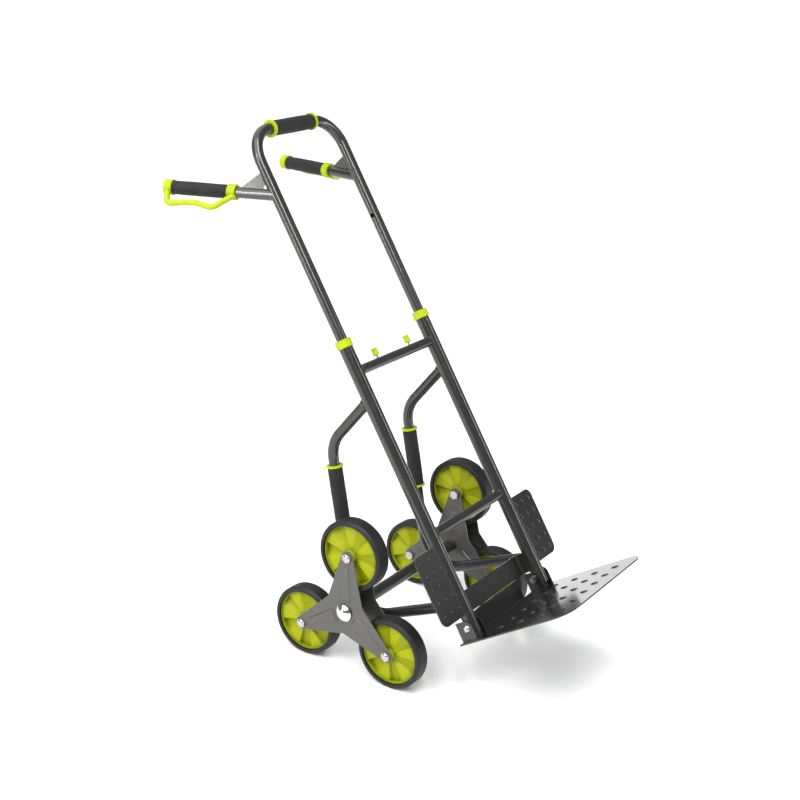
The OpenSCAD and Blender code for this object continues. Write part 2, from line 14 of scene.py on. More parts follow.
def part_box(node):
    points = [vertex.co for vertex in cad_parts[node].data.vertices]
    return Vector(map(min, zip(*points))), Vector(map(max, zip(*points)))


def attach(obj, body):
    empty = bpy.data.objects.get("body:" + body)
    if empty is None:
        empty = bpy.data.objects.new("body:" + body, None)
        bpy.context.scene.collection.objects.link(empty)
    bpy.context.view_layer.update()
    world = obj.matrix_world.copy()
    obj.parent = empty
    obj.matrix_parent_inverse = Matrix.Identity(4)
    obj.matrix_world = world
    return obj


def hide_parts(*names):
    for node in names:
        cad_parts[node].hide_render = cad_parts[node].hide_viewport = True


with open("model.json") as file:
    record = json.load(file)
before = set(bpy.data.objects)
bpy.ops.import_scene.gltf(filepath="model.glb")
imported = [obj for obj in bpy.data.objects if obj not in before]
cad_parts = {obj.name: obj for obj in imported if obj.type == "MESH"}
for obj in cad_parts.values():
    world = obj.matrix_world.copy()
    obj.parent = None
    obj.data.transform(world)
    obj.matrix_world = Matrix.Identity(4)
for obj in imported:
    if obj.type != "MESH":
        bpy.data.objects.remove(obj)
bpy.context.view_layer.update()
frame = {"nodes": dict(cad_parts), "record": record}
record = frame["record"]
joints = {joint["name"]: joint for joint in record["behaviour"]["joints"]}

# %% [markdown]
# ## Where things are
# The tube frame leans back, and so does everything fixed to it.  It is easiest to model such a
# piece upright and lean it at the end, so one matrix carries the upright drawing to its place.
# The lean is the direction in which the handle slides, and the toe plate's hinge gives the spot.

# %% The leaning frame
slide_axis = Vector(joints["handle_slide"]["axis"])
lean = math.atan2(slide_axis.y, slide_axis.z)
hinge_spot = Vector(joints["toe_plate_fold"]["pos_m"])
hinge_in_frame = Vector((0, 0.003, -0.069))
lean_turn = Matrix.Rotation(-lean, 4, "X")
lean_place = Matrix.Translation(hinge_spot - lean_turn @ hinge_in_frame) @ lean_turn
sides = (("left", -1), ("right", 1))
print("the frame leans back", round(math.degrees(lean), 1), "degrees")


def middle(node):
    low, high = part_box(node)
    return (Vector(low) + Vector(high)) / 2


# %% [markdown]
# ## Sizes from the upright drawing
# These are the truck's own sizes in metres, before it leans.  A place is given as x from the
# middle, back from the uprights' centre line, and up the frame.

# %% Named sizes
half_track = 0.146
crossbar_high_up = 0.519
crossbar_low_up = 0.139
loop_head = Vector((0, 0, 0.454))
loop_elbow = Vector((0, 0.148, 0.403))
loop_heel = Vector((0, 0.291, 0.024))
loop_foot = Vector((0, 0, -0.021))
side_rise = math.radians(29.6)
side_splay = math.radians(14.9)
toe_top_up = -0.095
wing_x = 0.1957
knob_x = 0.061
knob_up = 0.535
slider_up = 0.5304
print("the uprights stand", 2 * half_track, "m apart")


# %% [markdown]
# ## Working in edit mode
# An operator acts on whatever is selected.  So each step starts with nothing selected, and then
# picks faces or points by where they are or which way they face.

# %% Helpers for selecting and finishing
facing = 0.9


def clear():
    if bpy.context.object and bpy.context.object.mode != "OBJECT":
        bpy.ops.object.mode_set(mode="OBJECT")
    bpy.ops.object.select_all(action="DESELECT")


def pick_faces(piece, wanted):
    bpy.ops.object.mode_set(mode="EDIT")
    bpy.ops.mesh.select_mode(type="FACE")
    bpy.ops.mesh.select_all(action="DESELECT")
    bpy.ops.object.mode_set(mode="OBJECT")
    for face in piece.data.polygons:
        face.select = wanted(face.center, face.normal)
    bpy.ops.object.mode_set(mode="EDIT")


def pick_points(piece, wanted):
    bpy.ops.object.mode_set(mode="EDIT")
    bpy.ops.mesh.select_mode(type="VERT")
    bpy.ops.mesh.select_all(action="DESELECT")
    bpy.ops.object.mode_set(mode="OBJECT")
    for point in piece.data.vertices:
        point.select = wanted(point.co)
    bpy.ops.object.mode_set(mode="EDIT")


def apply_place(piece):
    clear()
    piece.select_set(True)
    bpy.context.view_layer.objects.active = piece
    bpy.ops.object.transform_apply(location=True, rotation=True, scale=True)


def outwards(piece):
    clear()
    piece.select_set(True)
    bpy.context.view_layer.objects.active = piece
    bpy.ops.object.mode_set(mode="EDIT")
    bpy.ops.mesh.select_all(action="SELECT")
    bpy.ops.mesh.normals_make_consistent(inside=False)
    bpy.ops.object.mode_set(mode="OBJECT")


def round_edges(piece, width, steps=2, angle=30):
    bevel = piece.modifiers.new("round_edges", "BEVEL")
    bevel.width = width
    bevel.segments = steps
    bevel.limit_method = "ANGLE"
    bevel.angle_limit = math.radians(angle)
    bpy.context.view_layer.objects.active = piece
    bpy.ops.object.modifier_apply(modifier=bevel.name)


def smooth(piece, angle=35):
    clear()
    piece.select_set(True)
    bpy.context.view_layer.objects.active = piece
    bpy.ops.object.shade_smooth_by_angle(angle=math.radians(angle))


def place(piece, matrix):
    piece.matrix_world = matrix @ piece.matrix_world
    bpy.context.view_layer.update()
    apply_place(piece)


def turn_towards(direction):
    return direction.to_track_quat("Z", "Y").to_matrix().to_4x4()


def draw_out(x, y, z):
    bpy.ops.mesh.extrude_region_move(TRANSFORM_OT_translate={"value": (x, y, z)})


def copy_of(piece, name):
    clear()
    piece.select_set(True)
    bpy.context.view_layer.objects.active = piece
    bpy.ops.object.duplicate(linked=False)
    bpy.context.object.name = name
    return bpy.context.object


def join(pieces, name):
    clear()
    for piece in pieces:
        piece.select_set(True)
    bpy.context.view_layer.objects.active = pieces[0]
    if len(pieces) > 1:
        bpy.ops.object.join()
    bpy.context.object.name = name
    return bpy.context.object


def give(piece, body, slot, *replaced):
    piece.data.name = piece.name
    piece.data.materials.clear()
    piece.data.materials.append(finishes[slot])
    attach(piece, body)
    if replaced:
        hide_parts(*replaced)
    print(piece.name, "rides on", body, "with", len(piece.data.polygons), "faces")


# %% [markdown]
# ## The camera
# A long lens looks from the front left, from above the top bar, with a slight roll.

# %% Camera
camera_spot = hinge_spot + Vector((-2.4829, -1.3042, 1.5071))
camera_azimuth = math.radians(-57.0)
camera_drop = math.radians(20.68)
camera_roll = math.radians(3.5)
bpy.ops.object.camera_add(location=camera_spot)
camera = bpy.context.object
camera.name = "studio_camera"
camera.data.lens = 64.57
camera.data.sensor_width = 36
camera_turn = Matrix.Rotation(camera_azimuth, 4, "Z")
camera_turn = camera_turn @ Matrix.Rotation(math.pi / 2 - camera_drop, 4, "X")
camera_turn = camera_turn @ Matrix.Rotation(camera_roll, 4, "Z")
camera.matrix_world = Matrix.Translation(camera_spot) @ camera_turn
bpy.context.scene.camera = camera
print("camera at", [round(v, 2) for v in camera_spot])

# %% [markdown]
# ## Finishes
# Each finish is a small set of nodes on the object's own coordinates, so it stays put in every
# view and pose.  A noise at the grain of the real surface moves the colour a little and lifts a
# slight bump.  A slow noise moves the roughness, as handling marks do.

# %% Limits that the finishes share
noise_low, noise_high = 0.32, 0.68
marks_low, marks_high = 0.3, 0.7
flat_edge, sharp_edge = 0.97, 0.80
# the two occlusion levels between which the painted shade in hollows fades out
deep_light, open_light = 0.50, 0.95
wear_radius = 0.0012
bump_height = 0.0004


# %% [markdown]
# An edge catches knocks: there a softened normal differs from the true one, and the slow noise
# breaks the worn line into patches.

# %% Worn edges
def wear_edges(nodes, links, base, slow, wear, wear_amount):
    soft = nodes.new("ShaderNodeBevel")
    soft.samples = 4
    soft.inputs["Radius"].default_value = wear_radius
    true = nodes.new("ShaderNodeNewGeometry")
    dot = nodes.new("ShaderNodeVectorMath")
    dot.operation = "DOT_PRODUCT"
    links.new(soft.outputs["Normal"], dot.inputs[0])
    links.new(true.outputs["Normal"], dot.inputs[1])
    edge = nodes.new("ShaderNodeMapRange")
    edge.inputs["From Min"].default_value = flat_edge
    edge.inputs["From Max"].default_value = sharp_edge
    edge.inputs["To Max"].default_value = wear_amount
    links.new(dot.outputs["Value"], edge.inputs["Value"])
    patch = nodes.new("ShaderNodeMath")
    patch.operation = "MULTIPLY"
    links.new(edge.outputs["Result"], patch.inputs[0])
    links.new(slow, patch.inputs[1])
    mix = nodes.new("ShaderNodeMix")
    mix.data_type = "RGBA"
    mix.inputs["B"].default_value = (*wear, 1)
    links.new(patch.outputs["Value"], mix.inputs["Factor"])
    links.new(base, mix.inputs["A"])
    return mix.outputs["Result"]


# %% [markdown]
# Light reaches little of a deep hollow, so there a moulded part's colour is painted darker by an
# occlusion mask: painted shade, not a colour of the plastic.

# %% Painted shade in deep hollows
def paint_hollow_shade(nodes, links, base, hollow_shade_colour, hollow_shade_reach):
    shade = nodes.new("ShaderNodeAmbientOcclusion")
    shade.samples = 8
    shade.inputs["Distance"].default_value = hollow_shade_reach
    depth = nodes.new("ShaderNodeMapRange")
    depth.inputs["From Min"].default_value = deep_light
    depth.inputs["From Max"].default_value = open_light
    links.new(shade.outputs["AO"], depth.inputs["Value"])
    # painted shade: the colour is mixed towards a darker one where the occlusion mask finds little
    # light
    deep = nodes.new("ShaderNodeMix")
    deep.data_type = "RGBA"
    deep.inputs["A"].default_value = (*hollow_shade_colour, 1)
    links.new(depth.outputs["Result"], deep.inputs["Factor"])
    links.new(base, deep.inputs["B"])
    return deep.outputs["Result"]


# %% A helper that builds one finish
def finish(name, colour, colour_high, roughness, roughness_high, grain, bump, metal=0.0,
           coat=0.0, coat_roughness=0.1, specular=0.5, marks=9.0, stretch=(1, 1, 1),
           wear=None, wear_amount=0.0, hollow_shade_colour=None, hollow_shade_reach=0.014):
    material = bpy.data.materials.new(name)
    material.use_nodes = True
    nodes, links = material.node_tree.nodes, material.node_tree.links
    shader = nodes["Principled BSDF"]
    shader.inputs["Metallic"].default_value = metal
    shader.inputs["Coat Weight"].default_value = coat
    shader.inputs["Coat Roughness"].default_value = coat_roughness
    shader.inputs["Specular IOR Level"].default_value = specular
    spot = nodes.new("ShaderNodeTexCoord")
    mapping = nodes.new("ShaderNodeMapping")
    mapping.inputs["Scale"].default_value = stretch
    links.new(spot.outputs["Object"], mapping.inputs["Vector"])

    def noise(scale, detail):
        node = nodes.new("ShaderNodeTexNoise")
        node.inputs["Scale"].default_value = scale
        node.inputs["Detail"].default_value = detail
        links.new(mapping.outputs["Vector"], node.inputs["Vector"])
        return node.outputs["Fac"]

    fine = noise(grain, 2.0)
    slow = noise(marks, 5.0)
    ramp = nodes.new("ShaderNodeValToRGB")
    ramp.color_ramp.elements[0].position = noise_low
    ramp.color_ramp.elements[1].position = noise_high
    ramp.color_ramp.elements[0].color = (*colour, 1)
    ramp.color_ramp.elements[1].color = (*colour_high, 1)
    links.new(fine, ramp.inputs["Fac"])
    base = ramp.outputs["Color"]
    if wear:
        base = wear_edges(nodes, links, base, slow, wear, wear_amount)
    # painted shade: the colour turns darker in hollows, found by an occlusion mask
    if hollow_shade_colour:
        base = paint_hollow_shade(nodes, links, base, hollow_shade_colour, hollow_shade_reach)
    links.new(base, shader.inputs["Base Color"])
    rough = nodes.new("ShaderNodeMapRange")
    rough.inputs["From Min"].default_value = marks_low
    rough.inputs["From Max"].default_value = marks_high
    rough.inputs["To Min"].default_value = roughness
    rough.inputs["To Max"].default_value = roughness_high
    links.new(slow, rough.inputs["Value"])
    links.new(rough.outputs["Result"], shader.inputs["Roughness"])
    lift = nodes.new("ShaderNodeBump")
    lift.inputs["Strength"].default_value = bump
    lift.inputs["Distance"].default_value = bump_height
    links.new(fine, lift.inputs["Height"])
    links.new(lift.outputs["Normal"], shader.inputs["Normal"])
    return material


# %% [markdown]
# The tubes carry a dark metallic paint: a fine flake in a satin film.  The pressed plates are
# painted darker or greyer, the lime parts are moulded with a faint grain, and the foam is full
# of small closed cells.

# %% The thirteen finishes
bare = (0.30, 0.30, 0.29)
finishes = {
    "frame_paint": finish(
        "anthracite_tube_paint", colour=(0.030, 0.031, 0.029), colour_high=(0.052, 0.053, 0.050),
        roughness=0.20, roughness_high=0.30, grain=900, bump=0.05, metal=0.65,
        coat=0.30, coat_roughness=0.12, wear=bare, wear_amount=0.5),
    "handle_paint": finish(
        "anthracite_handle_paint", colour=(0.038, 0.039, 0.037), colour_high=(0.062, 0.063, 0.060),
        roughness=0.20, roughness_high=0.30, grain=900, bump=0.05, metal=0.70,
        coat=0.35, coat_roughness=0.10, wear=bare, wear_amount=0.5),
    "wing_paint": finish(
        "dark_plate_paint", colour=(0.009, 0.010, 0.009), colour_high=(0.016, 0.017, 0.015),
        roughness=0.28, roughness_high=0.40, grain=900, bump=0.06, metal=0.35,
        coat=0.25, coat_roughness=0.2, wear=bare, wear_amount=0.6),
    "toe_paint": finish(
        "glossy_toe_plate_paint", colour=(0.013, 0.013, 0.013), colour_high=(0.020, 0.020, 0.020),
        roughness=0.20, roughness_high=0.25, grain=900, bump=0.03, metal=0.45,
        coat=0.5, coat_roughness=0.10, wear=bare, wear_amount=0.7),
    "star_plate": finish(
        "grey_star_plate_paint", colour=(0.064, 0.063, 0.058), colour_high=(0.094, 0.092, 0.086),
        roughness=0.34, roughness_high=0.52, grain=800, bump=0.06, metal=0.50,
        coat=0.15, coat_roughness=0.2, wear=(0.42, 0.42, 0.40), wear_amount=0.8, marks=22),
    "star_hub": finish(
        "plain_hub_steel", colour=(0.10, 0.10, 0.095), colour_high=(0.16, 0.16, 0.15),
        roughness=0.35, roughness_high=0.55, grain=400, bump=0.08, metal=0.9, stretch=(6, 1, 1)),
    "zinc": finish(
        "bright_zinc", colour=(0.34, 0.34, 0.33), colour_high=(0.50, 0.50, 0.49),
        roughness=0.16, roughness_high=0.30, grain=500, bump=0.08, metal=1.0),
    "chrome_cap": finish(
        "polished_chrome", colour=(0.58, 0.57, 0.54), colour_high=(0.66, 0.65, 0.62),
        roughness=0.05, roughness_high=0.12, grain=300, bump=0.01, metal=1.0),
    "black_plastic": finish(
        "black_plastic", colour=(0.012, 0.012, 0.012), colour_high=(0.022, 0.022, 0.022),
        roughness=0.45, roughness_high=0.6, grain=700, bump=0.15),
    "lime_plastic": finish(
        "lime_plastic", colour=(0.30, 0.37, 0.001), colour_high=(0.34, 0.42, 0.002),
        roughness=0.42, roughness_high=0.55, grain=700, bump=0.10, specular=0.2,
        # painted shade: the lime is painted darker in small hollows and crevices
        wear=(0.44, 0.54, 0.03), wear_amount=0.30, hollow_shade_colour=(0.15, 0.20, 0.001),
        hollow_shade_reach=0.004),
    "rim_plastic": finish(
        "lime_rim_plastic", colour=(0.245, 0.262, 0.001), colour_high=(0.285, 0.302, 0.001),
        roughness=0.42, roughness_high=0.56, grain=600, bump=0.10, specular=0.15,
        # painted shade: the rim's deep hollows are painted a dark green
        wear=(0.34, 0.46, 0.02), wear_amount=0.7, hollow_shade_colour=(0.040, 0.070, 0.001)),
    "foam": finish(
        "closed_cell_foam", colour=(0.006, 0.006, 0.006), colour_high=(0.016, 0.016, 0.017),
        roughness=0.60, roughness_high=0.82, grain=650, bump=0.9, specular=0.28, marks=25),
    "tyre": finish(
        "smooth_tyre_rubber", colour=(0.005, 0.005, 0.006), colour_high=(0.011, 0.011, 0.012),
        roughness=0.44, roughness_high=0.60, grain=420, bump=0.25, specular=0.28, marks=14),
}
slot_of = {part["node"]: part["material_slot"] for part in record["subparts"]}
for node_name, node in frame["nodes"].items():
    for material_slot in node.material_slots:
        material_slot.material = finishes[slot_of[node_name]]
print("finishes:", len(finishes))

# %% [markdown]
# ## Moulded rims
# A rim is one lime moulding: a thin lip holds the tyre, and inside it six blades run from the hub
# to the lip.  Each blade stands high along one side and slopes away, like a fan's, to a deep
# hollow where the next one begins.  The rim starts as a cylinder.  Each face is inset for the
# lip and sunk, then inset again and again so that there are rings of points, and the hub is
# drawn out of the middle.  Pushing in the points between the blades makes the hollows.

# %% Model one rim
rim_low, rim_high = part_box("left_top_rim")
rim_r = (rim_high[2] - rim_low[2]) / 2
hub_half = (rim_high[0] - rim_low[0]) / 2
rim_half = 0.0135
lip_t = 0.0030
blade_half = 0.0110
hub_r = 0.0145
bore_r = 0.0061
blades = 6
rim_points = 96
ring_insets = [0.002, 0.010, 0.014, 0.014]

clear()
bpy.ops.mesh.primitive_cylinder_add(
    vertices=rim_points, radius=rim_r, depth=2 * rim_half, rotation=(0, math.pi / 2, 0))
rim = bpy.context.object
apply_place(rim)
for side in (1, -1):
    pick_faces(rim, lambda centre, normal: normal.x * side > facing
               and centre.x * side > rim_half / 2)
    bpy.ops.mesh.inset(thickness=lip_t)
    draw_out(-side * (rim_half - blade_half), 0, 0)
    for thickness in ring_insets:
        bpy.ops.mesh.inset(thickness=thickness)
    bpy.ops.mesh.inset(thickness=rim_r - lip_t - sum(ring_insets) - hub_r)
    draw_out(side * (hub_half - blade_half), 0, 0)
    bpy.ops.mesh.inset(thickness=hub_r - bore_r)
    bpy.ops.mesh.delete(type="FACE")

# %% Bridge the bore
bpy.ops.mesh.select_mode(type="EDGE")
bpy.ops.mesh.select_all(action="DESELECT")
bpy.ops.mesh.select_non_manifold()
bpy.ops.mesh.bridge_edge_loops()
bpy.ops.object.mode_set(mode="OBJECT")
print("rim faces before the hollows:", len(rim.data.polygons))

# %% [markdown]
# The depth of a hollow depends on how far round its blade's sector a point lies: nothing on the
# blade's high side, most of it just past the edge, and then less and less as the next blade
# rises.  Each depth below belongs to one ring of points, from the lip inwards.

# %% Push in the hollows
ring_depths = (0.0085, 0.0085, 0.0070, 0.0040)
hollow_rings = [(rim_r - lip_t - ring_insets[0], ring_depths[0])]
for thickness, depth in zip(ring_insets[1:], ring_depths[1:]):
    hollow_rings.append((hollow_rings[-1][0] - thickness, depth))
sector_steps = rim_points // blades
same_plane, same_ring = 0.0002, 0.0005
hollow_profile = {8: 0.9, 9: 1.0, 10: 1.0, 11: 1.0, 12: 0.95, 13: 0.80, 14: 0.55, 15: 0.25}


def step_of(point):
    angle = math.degrees(math.atan2(point.y, point.z)) % (360 / blades)
    return round(angle / (360 / rim_points)) % sector_steps


for side in (1, -1):
    for ring_r, depth in hollow_rings:
        for step, share in hollow_profile.items():
            pick_points(rim, lambda p: abs(p.x * side - blade_half) < same_plane
                        and abs(math.hypot(p.y, p.z) - ring_r) < same_ring and step_of(p) == step)
            bpy.ops.transform.translate(value=(-side * depth * share, 0, 0))
outwards(rim)
round_edges(rim, width=0.0005, steps=2, angle=32)
smooth(rim, angle=24)
print("rim faces:", len(rim.data.polygons))

# %% [markdown]
# The six wheels are alike, so the rim is copied to each, and each copy is turned a little so that
# their blades don't all line up.

# %% Six rims
first_turn, turn_step = 7, 17
wheel_names = [(side, spot) for side in ("left", "right") for spot in ("top", "front", "rear")]
for number, (side, spot) in enumerate(wheel_names):
    copy = copy_of(rim, f"{side}_{spot}_moulded_rim")
    wheel_turn = Matrix.Rotation(math.radians(first_turn + turn_step * number), 4, "X")
    place(copy, Matrix.Translation(middle(f"{side}_{spot}_rim")) @ wheel_turn)
    give(copy, f"{side}_{spot}_wheel", "rim_plastic", f"{side}_{spot}_rim")
bpy.data.objects.remove(rim)

# %% [markdown]
# ## Soft grips
# The grips are tubes of closed-cell foam, a little crowned and rounded over where they meet
# their end rings.  A grip is drawn upwards from a disc by extruding and scaling, and a light
# displacement, which only presses inwards, keeps its skin from being a perfect cylinder.

# %% A helper that draws a round piece up through its profile
def draw_round(name, profile, points):
    """A closed round piece along +Z.  The profile lists (height, radius)."""
    clear()
    bpy.ops.mesh.primitive_circle_add(vertices=points, radius=profile[0][1], fill_type="NGON")
    piece = bpy.context.object
    piece.name = name
    bpy.ops.object.mode_set(mode="EDIT")
    bpy.ops.mesh.select_all(action="SELECT")
    for (low, r_low), (high, r_high) in zip(profile, profile[1:]):
        draw_out(0, 0, high - low)
        bpy.ops.transform.resize(value=(r_high / r_low, r_high / r_low, 1))
    bpy.ops.object.mode_set(mode="OBJECT")
    outwards(piece)
    return piece


# %% Model a foam sleeve between two points
foam_lumps = bpy.data.textures.new("foam_lumps", "CLOUDS")
foam_lumps.noise_scale = 0.012


def foam_sleeve(name, start, end, radius):
    length = (end - start).length
    steps = 16
    shoulder = 0.0022
    turn_up, turn_in = 0.0006, 0.0009
    crown = 0.0004
    profile = [(0.0, radius - shoulder), (turn_up, radius - turn_in), (shoulder, radius - crown)]
    for i in range(1, steps):
        height = shoulder + (length - 2 * shoulder) * i / steps
        profile.append((height, radius - crown + crown * math.sin(math.pi * i / steps)))
    profile += [(length - height, r) for height, r in reversed(profile[:3])]
    sleeve = draw_round(name, profile, points=64)
    lumps = sleeve.modifiers.new("lumps", "DISPLACE")
    lumps.texture = foam_lumps
    lumps.strength = 0.0006
    lumps.mid_level = 1.0
    bpy.ops.object.modifier_apply(modifier=lumps.name)
    place(sleeve, Matrix.Translation(start) @ turn_towards(end - start))
    smooth(sleeve, angle=50)
    return sleeve


# %% Find where each grip's foam starts and ends
def stretch_of(node, axis):
    """The two ends of a round node on its middle line along an axis, and its radius."""
    points = [v.co for v in frame["nodes"][node].data.vertices]
    along = [p.dot(axis) for p in points]
    centre = sum(points, Vector()) / len(points)
    radius = max(((p - centre) - axis * (p - centre).dot(axis)).length for p in points)
    centre_along = centre.dot(axis)
    start = centre + axis * (min(along) - centre_along)
    end = centre + axis * (max(along) - centre_along)
    return start, end, radius


def handle_axis(side_sign):
    x = side_sign * math.cos(side_rise) * math.sin(side_splay)
    back = math.cos(side_rise) * math.cos(side_splay)
    return (lean_turn @ Vector((x, back, math.sin(side_rise)))).normalized()


loop_axis = (lean_turn @ (loop_heel - loop_elbow)).normalized()
grips = [("top_grip", Vector((1, 0, 0)), "handle")]
for side, sign in sides:
    grips.append((f"{side}_side_grip", handle_axis(sign), "handle"))
    grips.append((f"{side}_loop_sleeve", loop_axis, "frame"))
for node, axis, body in grips:
    start, end, radius = stretch_of(node, axis)
    sleeve = foam_sleeve(node + "_foam", start, end, radius)
    give(sleeve, body, "foam", node)

# %% [markdown]
# ## Pressed dimples
# The toe plate is pressed with a grid of long low dimples that grip a box, six across and four
# deep, and each wing plate with three across and five high.  One dimple is a flattened ball sunk
# halfway into the sheet, and two arrays repeat it into the grid.

# %% A helper that makes a grid of dimples
def dimple_grid(name, size, across, across_step, rows, row_step):
    clear()
    bpy.ops.mesh.primitive_uv_sphere_add(segments=20, ring_count=10, radius=1)
    dimple = bpy.context.object
    dimple.name = name
    bpy.ops.object.mode_set(mode="EDIT")
    bpy.ops.mesh.select_all(action="SELECT")
    bpy.ops.transform.resize(value=size)
    bpy.ops.transform.translate(value=(-across_step * (across - 1) / 2, -row_step * (rows - 1) / 2, 0))
    bpy.ops.object.mode_set(mode="OBJECT")
    for count, offset in ((across, (across_step, 0, 0)), (rows, (0, row_step, 0))):
        array = dimple.modifiers.new("repeat", "ARRAY")
        array.count = count
        array.use_relative_offset = False
        array.use_constant_offset = True
        array.constant_offset_displace = offset
        bpy.ops.object.modifier_apply(modifier=array.name)
    smooth(dimple, angle=60)
    return dimple


# %% Dimples on the toe plate
toe_grid_back = -0.1295
toe_dimples = dimple_grid("toe_plate_dimples", size=(0.0046, 0.0098, 0.0024), across=6,
                          across_step=0.0485, rows=4, row_step=0.055)
place(toe_dimples, lean_place @ Matrix.Translation((0, toe_grid_back, toe_top_up)))
give(toe_dimples, "toe_plate", "toe_paint")

# %% Dimples on the wing plates
face_on = Matrix.Rotation(math.pi / 2, 4, "X")
wing_mesh = frame["nodes"]["left_wing_plate"].data
wing_points = [lean_place.inverted() @ v.co for v in wing_mesh.vertices]
wing_front = min(p.y for p in wing_points)
wing_middle = (min(p.z for p in wing_points) + max(p.z for p in wing_points)) / 2
print("wing front", round(wing_front, 4), "middle", round(wing_middle, 4))
for side, sign in sides:
    dimples = dimple_grid(f"{side}_wing_dimples", size=(0.0043, 0.0062, 0.0027), across=3,
                          across_step=0.0265, rows=5, row_step=0.0303)
    grid_spot = Matrix.Translation((sign * wing_x, wing_front, wing_middle))
    place(dimples, lean_place @ grid_spot @ face_on)
    give(dimples, "frame", "wing_paint")

# %% [markdown]
# ## Embossed star plates
# Each arm of a star plate is stiffened by a long tapering emboss.  It starts as a cube, drawn out
# along the arm, narrowed at the far end, with its top pulled in to slope the sides.  An inner
# plate's arm has a shorter emboss, and three small ribs near the wheel bolt.

# %% Model one emboss
top_width_share, top_length_share = 0.62, 0.90
edge_share = 0.45


def emboss(name, wide, narrow, low, high, height):
    clear()
    bpy.ops.mesh.primitive_cube_add(size=1)
    rib = bpy.context.object
    rib.name = name
    bpy.ops.object.mode_set(mode="EDIT")
    bpy.ops.mesh.select_all(action="SELECT")
    bpy.ops.transform.resize(value=(2 * height, wide, high - low))
    bpy.ops.transform.translate(value=(0, 0, (low + high) / 2))
    pick_faces(rib, lambda centre, normal: normal.z > facing)
    bpy.ops.transform.resize(value=(1, narrow / wide, 1))
    pick_faces(rib, lambda centre, normal: normal.x > facing)
    bpy.ops.transform.resize(value=(1, top_width_share, top_length_share))
    bpy.ops.object.mode_set(mode="OBJECT")
    outwards(rib)
    round_edges(rib, width=height * edge_share, steps=3, angle=20)
    smooth(rib, angle=50)
    return rib


# %% Set the embosses on the four star plates
outer_emboss = {"wide": 0.042, "narrow": 0.014, "low": 0.026, "high": 0.112, "height": 0.0026}
inner_emboss = {"wide": 0.026, "narrow": 0.016, "low": 0.030, "high": 0.086, "height": 0.0022}
small_rib = {"wide": 0.0034, "narrow": 0.0026, "low": 0.092, "high": 0.106, "height": 0.0012}
small_rib_step = 0.008
small_rib_drop = 0.4
half_turn = Matrix.Rotation(math.pi, 4, "Z")
no_turn = Matrix.Identity(4)

for side, sign in sides:
    plate_low, plate_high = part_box(f"{side}_star_outer_plate")
    inner_low, inner_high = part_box(f"{side}_star_inner_plate")
    outer_face = plate_high[0] if sign > 0 else plate_low[0]
    inner_face = inner_low[0] if sign > 0 else inner_high[0]
    outer_flip = no_turn if sign > 0 else half_turn
    inner_flip = half_turn if sign > 0 else no_turn
    hub = middle(f"{side}_star_hub")
    ribs = []
    for arm in range(3):
        arm_turn = Matrix.Rotation(math.radians(120 * arm), 4, "X")
        outer_place = Matrix.Translation((outer_face, hub.y, hub.z)) @ arm_turn @ outer_flip
        inner_place = Matrix.Translation((inner_face, hub.y, hub.z)) @ arm_turn @ inner_flip
        rib = emboss("rib", **outer_emboss)
        place(rib, outer_place)
        ribs.append(rib)
        for offset in (-small_rib_step, 0.0, small_rib_step):
            rib = emboss("rib", **small_rib)
            place(rib, inner_place @ Matrix.Translation((0, offset, -abs(offset) * small_rib_drop)))
            ribs.append(rib)
        rib = emboss("rib", **inner_emboss)
        place(rib, inner_place)
        ribs.append(rib)
    give(join(ribs, f"{side}_star_ribs"), f"{side}_star", "star_plate")

# %% [markdown]
# ## Turned knobs, ribs and lips
# The lock knobs, the small beads round the guard's collars and the lips on the tube collars are
# round pieces.  A knob is drawn up from a disc, ring by ring.  A bead or a lip is a thin torus,
# sunk halfway into the piece that it goes round.

# %% Lock knobs and their sliders
knob_profile = [
    (0.0, 0.0058), (0.0012, 0.0070), (0.0100, 0.0070), (0.0108, 0.0062), (0.0120, 0.0062),
    (0.0128, 0.0070), (0.0162, 0.0070), (0.0176, 0.0060), (0.0180, 0.0040)]
slider_size = (0.0050, 0.0042, 0.0020)
for side, sign in sides:
    knob = draw_round(f"{side}_turned_knob", knob_profile, points=48)
    round_edges(knob, width=0.0003, steps=2, angle=30)
    place(knob, lean_place @ Matrix.Translation((sign * knob_x, 0, knob_up)))
    smooth(knob, angle=40)
    give(knob, f"{side}_lock", "lime_plastic", f"{side}_lock_knob")
    clear()
    bpy.ops.mesh.primitive_cube_add(size=1)
    slider = bpy.context.object
    slider.name = f"{side}_lock_slider"
    bpy.ops.object.mode_set(mode="EDIT")
    bpy.ops.transform.resize(value=slider_size)
    bpy.ops.object.mode_set(mode="OBJECT")
    round_edges(slider, width=0.0006, steps=2)
    place(slider, lean_place @ Matrix.Translation((sign * knob_x, 0, slider_up)))
    smooth(slider, angle=40)
    give(slider, f"{side}_lock", "lime_plastic")


# %% A helper that makes one bead
def bead(name, place_matrix, ring_r, wire_r):
    clear()
    bpy.ops.mesh.primitive_torus_add(
        major_segments=64, minor_segments=10, major_radius=ring_r, minor_radius=wire_r)
    ring = bpy.context.object
    ring.name = name
    place(ring, place_matrix)
    smooth(ring, angle=60)
    return ring


